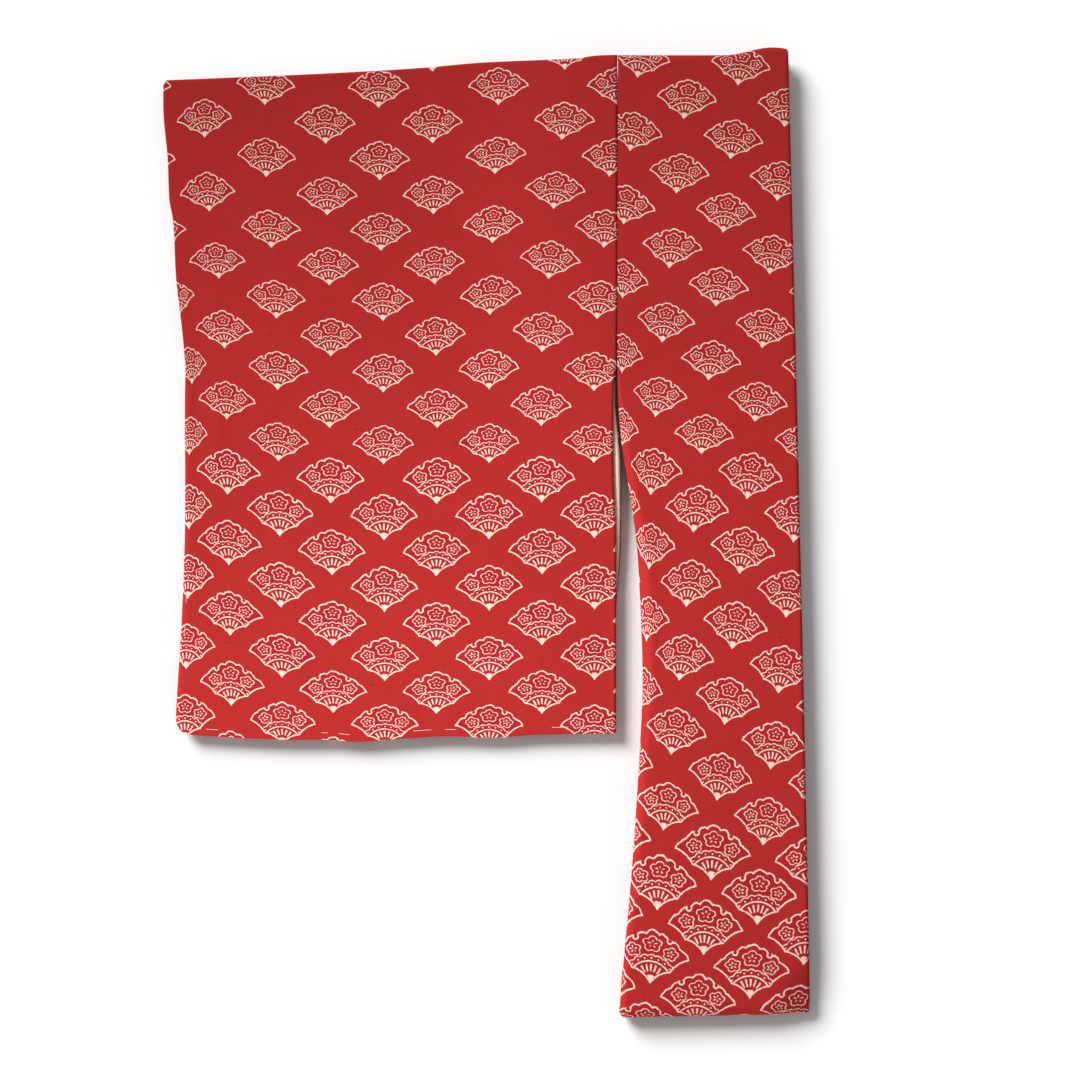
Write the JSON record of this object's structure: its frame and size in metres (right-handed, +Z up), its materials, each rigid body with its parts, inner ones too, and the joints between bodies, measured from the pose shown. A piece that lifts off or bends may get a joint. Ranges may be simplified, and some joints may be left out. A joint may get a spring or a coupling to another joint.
{
  "type": "komon kimono",
  "caption": "Lined kimono folded lengthwise and at the hips, lying flat with one sleeve spread to the side.",
  "frame": {"origin": "on the surface that the folded garment lies on, under the middle of its outline", "axes": "+Z up from that surface, +Y towards the shoulder line, +X from the spread sleeve towards the folded body"},
  "size_m": [0.4732, 0.7104, 0.019],
  "materials": {
    "printed_cloth": "matt plain-weave kimono cloth with a small cream fan print",
    "lining": "smooth plain lining cloth"
  },
  "bodies": {
    "root": {"body_panel_shown": "printed_cloth", "body_folded_layers": "printed_cloth", "sleeve_shown": "printed_cloth", "sleeve_lining_at_open_edge": "lining", "sleeve_folded_under": "printed_cloth"}
  },
  "joints": []
}
